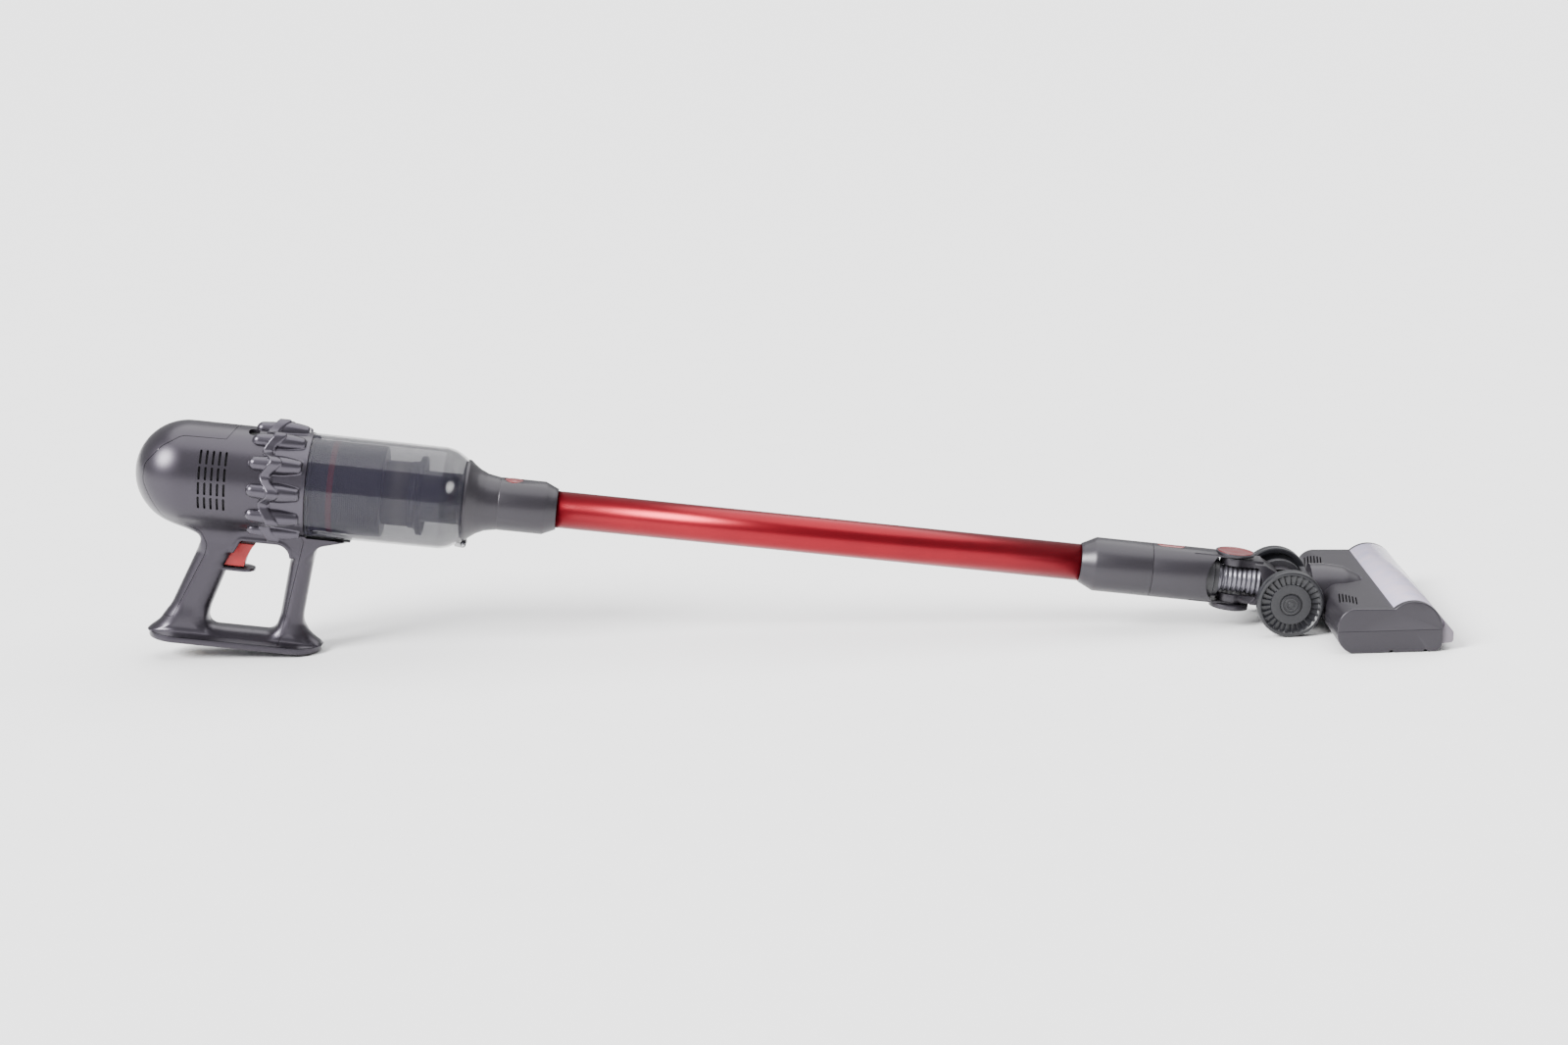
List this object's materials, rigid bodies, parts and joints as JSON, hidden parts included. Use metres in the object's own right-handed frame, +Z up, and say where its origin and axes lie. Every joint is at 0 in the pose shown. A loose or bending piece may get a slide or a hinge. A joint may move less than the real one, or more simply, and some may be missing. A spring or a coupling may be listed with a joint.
{
  "type": "cordless stick vacuum",
  "caption": "Cordless stick vacuum: pistol-grip hand unit with cyclone bin, straight wand, swivelling neck and a wheeled powered floor head.",
  "frame": {"origin": "centre of the bounding box's underside, on the floor that the head, the wheels and the handle's foot stand on", "axes": "+X from the hand unit's dome towards the floor head, +Y to the user's left, +Z up"},
  "size_m": [1.218, 0.236, 0.2259],
  "materials": {
    "metallic_shell": "purplish grey metallic lacquer, satin",
    "crown_shell": "purplish grey metallic lacquer, brighter",
    "coupling_shell": "grey metallic plastic, satin",
    "head_shell": "dark grey metallic plastic, satin",
    "black_plastic": "fine moulded grain",
    "shroud_plastic": "dark blue-grey gloss",
    "red_plastic": "red gloss",
    "trigger_red": "bright red satin",
    "red_metal": "red metallic lacquer",
    "smoky_clear": "smoky transparent",
    "screen_mesh": "fine woven mesh",
    "hose_silver": "silver grey flexible hose",
    "milky_window": "milky translucent",
    "bumper_grey": "soft grey",
    "wheel_black": "black satin",
    "steel": "bright",
    "brass_contact": "polished",
    "motor_metal": "satin",
    "cell_wrap": "blue shrink wrap",
    "circuit_board": "green solder resist",
    "filter_fabric": "pleated filter paper",
    "seal_rubber": "soft black",
    "belt_rubber": "ribbed",
    "bristle_fibre": "red and grey nylon tufts"
  },
  "bodies": {
    "handheld": {"body_shell_left": "metallic_shell", "body_shell_right": "metallic_shell", "spine_cover": "metallic_shell", "front_strut": "metallic_shell", "base_plate": "metallic_shell", "charging_contacts": "brass_contact", "housing_screws": "steel", "trigger_spring": "steel", "trigger_switch": "black_plastic", "battery_cells": "cell_wrap", "battery_holder": "black_plastic", "control_board": "circuit_board", "exhaust_filter": "filter_fabric", "motor_can": "motor_metal", "motor_stator": "steel", "motor_bearings": "steel", "pre_motor_filter": "filter_fabric", "cyclone_crown": "crown_shell", "cyclone_shroud": "shroud_plastic", "red_seal_band": "red_plastic", "mesh_screen": "screen_mesh", "shroud_skirt": "shroud_plastic", "inlet_duct": "shroud_plastic", "bin_runner": "black_plastic"},
    "fan": {"motor_shaft": "steel", "impeller": "shroud_plastic"},
    "trigger": {"trigger": "trigger_red"},
    "bin_catch": {"bin_catch": "black_plastic"},
    "bin": {"dust_bin": "smoky_clear", "bin_seal": "seal_rubber", "lid_hinge_pin": "steel"},
    "lid": {"bin_lid": "coupling_shell", "lid_seals": "seal_rubber", "rear_coupling": "coupling_shell", "wand_button_spring": "steel"},
    "wand_button": {"wand_release_button": "red_plastic"},
    "wand": {"wand_tube": "red_metal", "front_coupling": "coupling_shell"},
    "connector": {"head_connector": "coupling_shell", "head_button_spring": "steel", "swivel_hose": "hose_silver"},
    "head_button": {"head_release_button": "red_plastic"},
    "swivel": {"swivel_neck": "coupling_shell", "swivel_caps": "coupling_shell", "swivel_lens": "red_plastic"},
    "carriage": {"wheel_carriage": "black_plastic", "stub_axles": "steel"},
    "wheel_left": {"wheel_left": "wheel_black"},
    "wheel_right": {"wheel_right": "wheel_black"},
    "head": {"head_cover": "head_shell", "head_base": "head_shell", "head_end_caps": "head_shell", "brush_window": "milky_window", "front_bumper": "bumper_grey", "brush_motor": "motor_metal", "drive_belt": "belt_rubber"},
    "brush": {"brush_roller": "shroud_plastic", "brush_bristles": "bristle_fibre", "brush_pulley": "black_plastic"},
    "motor_pulley": {"motor_pulley": "steel"}
  },
  "joints": [
    {"name": "fan_spin", "type": "hinge", "parent": "handheld", "child": "fan", "pos_m": [-0.48959, 0, 0.16719], "axis": [0.9912, 0, -0.1326], "continuous": true},
    {"name": "trigger_pull", "type": "slide", "parent": "handheld", "child": "trigger", "axis": [-0.9912, 0, 0.1326], "range_m": [0, 0.005], "stiffness_N_per_m": 400, "springref_m": -0.003, "deforming": ["trigger_spring"]},
    {"name": "bin_catch_slide", "type": "slide", "parent": "handheld", "child": "bin_catch", "axis": [0.9912, 0, -0.1326], "range_m": [0, 0.004], "stiffness_N_per_m": 400, "springref_m": -0.003},
    {"name": "bin_slide", "type": "slide", "parent": "handheld", "child": "bin", "axis": [0.9912, 0, -0.1326], "range_m": [0, 0.06]},
    {"name": "lid_open", "type": "hinge", "parent": "bin", "child": "lid", "pos_m": [-0.3053, 0, 0.10056], "axis": [0, 1, 0], "range_deg": [0, 95]},
    {"name": "wand_button_press", "type": "slide", "parent": "lid", "child": "wand_button", "axis": [-0.1326, 0, -0.9912], "range_m": [0, 0.0024], "stiffness_N_per_m": 300, "springref_m": -0.002, "deforming": ["wand_button_spring"]},
    {"name": "wand_pull", "type": "slide", "parent": "lid", "child": "wand", "axis": [0.9912, 0, -0.1326], "range_m": [0, 0.045]},
    {"name": "head_pull", "type": "slide", "parent": "wand", "child": "connector", "axis": [0.9912, 0, -0.1326], "range_m": [0, 0.025]},
    {"name": "head_button_press", "type": "slide", "parent": "connector", "child": "head_button", "axis": [-0.1326, 0, -0.9912], "range_m": [0, 0.0022], "stiffness_N_per_m": 300, "springref_m": -0.002, "deforming": ["head_button_spring"]},
    {"name": "swivel_turn", "type": "hinge", "parent": "connector", "child": "swivel", "pos_m": [0.42169, 0, 0.04527], "axis": [0.1326, 0, 0.9912], "range_deg": [-40, 40], "deforming": ["swivel_hose"]},
    {"name": "neck_pitch", "type": "hinge", "parent": "swivel", "child": "carriage", "pos_m": [0.46926, 0, 0.03134], "axis": [0, -1, 0], "range_deg": [0, 70]},
    {"name": "wheel_left_spin", "type": "hinge", "parent": "carriage", "child": "wheel_left", "pos_m": [0.46926, 0.049, 0.03134], "axis": [0, 1, 0], "continuous": true},
    {"name": "wheel_right_spin", "type": "hinge", "parent": "carriage", "child": "wheel_right", "pos_m": [0.46926, -0.049, 0.03134], "axis": [0, 1, 0], "continuous": true},
    {"name": "head_roll", "type": "hinge", "parent": "carriage", "child": "head", "pos_m": [0.49926, 0, 0.031], "axis": [1, 0, 0], "range_deg": [-25, 25]},
    {"name": "brush_spin", "type": "hinge", "parent": "head", "child": "brush", "pos_m": [0.57147, 0, 0.021], "axis": [0, 1, 0], "continuous": true},
    {"name": "motor_pulley_spin", "type": "hinge", "parent": "head", "child": "motor_pulley", "pos_m": [0.52747, -0.1, 0.021], "axis": [0, 1, 0], "continuous": true}
  ],
  "couplings": [
    {"joint": "motor_pulley_spin", "follows": "brush_spin", "ratio": 1.8}
  ]
}
